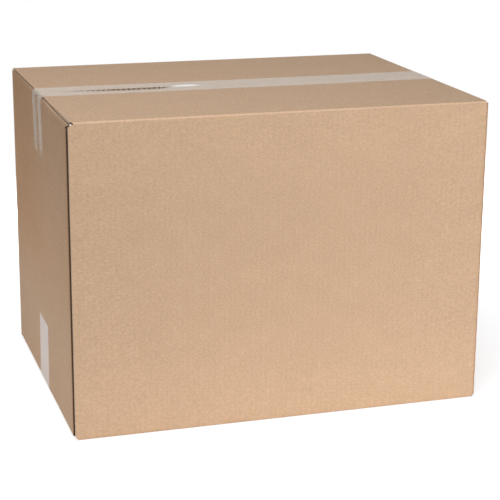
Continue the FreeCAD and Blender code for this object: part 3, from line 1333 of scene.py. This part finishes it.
@dataclass
class PackingTape:
    """One strip of clear tape along a seam, its tails turned over the end panels."""

    name: str
    node: str
    level: float
    side: Side
    tail: float
    board: CartonBoard
    finish: ClearFilm
    film: float = 0.00005
    lift: float = 0.000065
    edge_round: float = 0.001
    edge_steps: int = 4
    fold_steps: int = 6
    tail_steps: int = 8
    smooth_angle: float = 40.0
    piece: bpy.types.Object | None = field(default=None, init=False)

    def _line(self) -> list[tuple[float, float]]:
        """Give the strip's way from its middle over the right end: along the seam, and down.

        Returns:
            Points (x, rise), where rise is measured up from the seam's face.
        """
        board = self.board
        fold = Vector((board.half_length - board.fold, -(board.short_drop + board.fold)))
        edge = Vector((board.flap_end, -self.edge_round))
        along = fold - edge
        lean = math.acos((self.edge_round - board.fold) / along.length)
        turn = math.atan2(along.y, along.x) + lean
        points = [(x, 0.0) for x in board.across_levels() if x > -HAIR] + [(board.flap_end, 0.0)]
        for step in range(1, self.edge_steps + 1):
            angle = math.pi / 2 + (turn - math.pi / 2) * step / self.edge_steps
            points.append((edge.x + self.edge_round * math.cos(angle),
                           edge.y + self.edge_round * math.sin(angle)))
        for step in range(self.fold_steps + 1):
            angle = turn * (1 - step / self.fold_steps)
            points.append((fold.x + board.fold * math.cos(angle), fold.y + board.fold * math.sin(angle)))
        run = self.tail + fold.y
        return points + [(board.half_length, fold.y - run * step / self.tail_steps)
                         for step in range(1, self.tail_steps + 1)]

    def _rows(self) -> list[float]:
        """Give the places across the strip, which the board under it shares."""
        outer = [self.board.half_seam, *self.board.band]
        return [-place for place in reversed(outer)] + [0.0] + outer

    def build(self) -> bpy.types.Object:
        """Model the strip.

        Returns:
            The tape.
        """
        right = self._line()
        line = [(-x, rise) for x, rise in reversed(right[1:])] + right
        rows = self._rows()
        Bench.clear()
        bpy.ops.mesh.primitive_grid_add(
            x_subdivisions=len(line) - 1, y_subdivisions=len(rows) - 1, size=1.0)
        self.piece = bpy.context.object
        self.piece.name = self.name
        for vertex in self.piece.data.vertices:
            x, rise = line[round((vertex.co.x + 0.5) * (len(line) - 1))]
            y = rows[round((vertex.co.y + 0.5) * (len(rows) - 1))]
            vertex.co = self._lay(Vector((x, y, self.level + self.side.value * rise)))
        self.piece.data.update()
        if self.side is Side.LOW:
            Bench.turn_over(self.piece)
        Bench.apply(self.piece, "SOLIDIFY", {
            "thickness": self.film, "offset": 1.0, "use_even_offset": True})
        Bench.seat(self.piece)
        return self.piece

    def _lay(self, flat: Vector) -> Vector:
        """Lay a point of the film on the worn board, a hair above it and bridging the seam.

        Args:
            flat: The point on the flat carton.

        Returns:
            The point on the worn one.
        """
        wear = self.board.wear
        half_seam = self.board.half_seam
        if abs(flat.y) < half_seam:
            front = wear.bend(Vector((flat.x, -half_seam, flat.z)))
            back = wear.bend(Vector((flat.x, half_seam, flat.z)))
            laid = front.lerp(back, (flat.y + half_seam) / (2 * half_seam))
        else:
            laid = wear.bend(flat)
        outward = Vector((0, 0, self.side.value))
        if abs(flat.x) > self.board.flap_end + HAIR:
            outward.x = math.copysign(1.0, flat.x)
        return laid + outward * self.lift

    def dress(self) -> None:
        """Give the strip its finish and let it stand for its CAD node."""
        self.piece.data.materials.clear()
        self.piece.data.materials.append(self.finish.build())
        Bench.take(self.piece)
        bpy.ops.object.shade_smooth_by_angle(angle=math.radians(self.smooth_angle))
        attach(self.piece, "root")
        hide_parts(self.node)


@dataclass(frozen=True)
class Lamp:
    """One soft lamp, square or a long strip."""

    name: str
    place: Place
    aim: Place
    size: float
    power: float
    colour: tuple[float, float, float] = (1.0, 1.0, 1.0)
    height: float | None = None

    def hang(self) -> None:
        """Hang the lamp, facing its aim."""
        lamp = bpy.data.lights.new(self.name, "AREA")
        lamp.size = self.size
        if self.height:
            lamp.shape = "RECTANGLE"
            lamp.size_y = self.height
        lamp.color = self.colour
        lamp.energy = self.power
        holder = bpy.data.objects.new(self.name, lamp)
        bpy.context.scene.collection.objects.link(holder)
        holder.location = self.place
        way = Vector(self.aim) - Vector(self.place)
        holder.rotation_euler = way.to_track_quat("-Z", "Y").to_euler()


@dataclass
class Studio:
    """The pale floor, the white surroundings and the soft lamps."""

    floor_half: float = 1.4
    floor_colour: Colour = (0.92, 0.92, 0.92, 1.0)
    floor_roughness: float = 0.9
    lift: float = 0.68
    far_lift: float = 0.6
    far_span: Span = (0.25, 1.0)
    lamps: tuple[Lamp, ...] = (
        Lamp("front_strip", (-0.15, -0.95, 0.05), (-0.15, -0.23, 0.05), 1.4, 2.3, height=0.08),
        Lamp("right_strip", (0.85, -1.2, 0.08), (0.15, -0.23, 0.08), 0.7, 5.8, height=0.10),
        Lamp("overhead", (-0.3, -0.3, 2.2), (0.0, 0.0, 0.4), 1.8, 20.0, (0.891, 0.929, 1.0)),
        Lamp("front_top", (-0.5, -1.0, 2.0), (0.0, 0.0, 0.4), 1.2, 15.0, (0.952, 0.967, 1.0)),
        Lamp("left_strip", (-0.80, 0.05, 0.05), (-0.31, 0.05, 0.05), 1.0, 0.85, height=0.08),
        Lamp("back_strip", (0.1, 1.15, 0.12), (0.1, 0.23, 0.2), 0.8, 3.5, height=0.16),
    )

    def build(self) -> None:
        """Make all of it."""
        self._floor()
        self._surroundings()
        for lamp in self.lamps:
            lamp.hang()

    def _seen(self, graph: Graph) -> Value:
        """Find what the camera, a reflection or a look through clear film meets.

        Args:
            graph: The graph that needs it.

        Returns:
            1 for such a ray, else 0.
        """
        kinds = ("Is Camera Ray", "Is Glossy Ray", "Is Transmission Ray")
        seen = graph.node("ShaderNodeLightPath", {}, {}, kinds[0])
        for kind in kinds[1:]:
            seen = seen.most(graph.node("ShaderNodeLightPath", {}, {}, kind))
        return seen

    def _floor(self) -> None:
        """Lay the floor: diffuse, so that it takes the shadow, with a white lift for the camera."""
        Bench.clear()
        bpy.ops.mesh.primitive_plane_add(size=2 * self.floor_half, location=(0, 0, 0))
        floor = bpy.context.object
        floor.name = "floor"
        graph = Graph(bpy.data.materials.new("pale_floor"))
        x, y, _ = graph.split(graph.place())
        far = (x * x + y * y).ramp(*self.far_span)
        lift = self._seen(graph) * (self.lift + far * self.far_lift)
        floor.data.materials.append(graph.finish({
            "Base Color": self.floor_colour, "Roughness": self.floor_roughness,
            "Specular IOR Level": 0.0, "Emission Color": WHITE, "Emission Strength": lift}))

    def _surroundings(self) -> None:
        """Make the world white where it is seen, and leave all the light to the lamps."""
        world = bpy.data.worlds.new("white_room")
        bpy.context.scene.world = world
        graph = Graph(world)
        background = graph.node("ShaderNodeBackground", {}, {"Color": WHITE, "Strength": self._seen(graph)})
        graph.node("ShaderNodeOutputWorld", {}, {"Surface": background})


@dataclass
class Viewpoint:
    """The camera, where the photograph was taken from."""

    place: Place = (-0.6737, -2.2252, 0.8611)
    azimuth: float = -17.346
    elevation: float = 16.033
    roll: float = 0.445
    lens: float = 110.91
    sensor: float = 36.0

    def build(self) -> None:
        """Set the camera up."""
        turn, rise, roll = (math.radians(angle) for angle in (self.azimuth, self.elevation, self.roll))
        back = Vector((math.sin(turn) * math.cos(rise), -math.cos(turn) * math.cos(rise), math.sin(rise)))
        right = (-back).cross(Vector((0, 0, 1))).normalized()
        up = right.cross(-back)
        tilted_right = right * math.cos(roll) + up * math.sin(roll)
        tilted_up = up * math.cos(roll) - right * math.sin(roll)
        camera = bpy.data.cameras.new("viewpoint")
        camera.lens = self.lens
        camera.sensor_width = self.sensor
        holder = bpy.data.objects.new("viewpoint", camera)
        bpy.context.scene.collection.objects.link(holder)
        axes = Matrix((tilted_right, tilted_up, back)).transposed()
        holder.matrix_world = Matrix.Translation(self.place) @ axes.to_4x4()
        bpy.context.scene.camera = holder


def main() -> None:
    """Build the camera, the studio, the board and the tapes, and report each piece."""
    logging.basicConfig(level=logging.INFO, format="%(message)s")
    Viewpoint().build()
    Studio().build()
    low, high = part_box("carton")
    top_low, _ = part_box("top_tape")
    _, base_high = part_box("bottom_tape")
    wear = Wear(half_length=high.x, half_width=high.y, low=low.z, high=high.z)
    board = CartonBoard(half_length=high.x, half_width=high.y, low=low.z, high=high.z, wear=wear)
    top_film = ClearFilm("top_film", high.z, Side.HIGH, streaked=True,
                         open_part=(-0.290, -0.104), gleam=(-0.106, -0.056))
    # The bottom film's tails get a thick pale veil: partly the film's milkiness, partly a painted sheen of
    # the bright surroundings.
    bottom_film = ClearFilm("bottom_film", low.z, Side.LOW, tail_veil=0.72, colour=(0.86, 0.71, 0.615, 1.0))
    pieces = [
        board,
        PackingTape("top_strip", "top_tape", high.z, Side.HIGH, high.z - top_low.z, board, top_film),
        PackingTape("bottom_strip", "bottom_tape", low.z, Side.LOW, base_high.z - low.z, board, bottom_film,
                    lift=0.00003),
    ]
    for piece in pieces:
        made = piece.build()
        piece.dress()
        log.info("%s: %d faces", made.name, len(made.data.polygons))
    bpy.context.scene.view_settings.view_transform = "Standard"


if __name__ == "__main__":
    main()
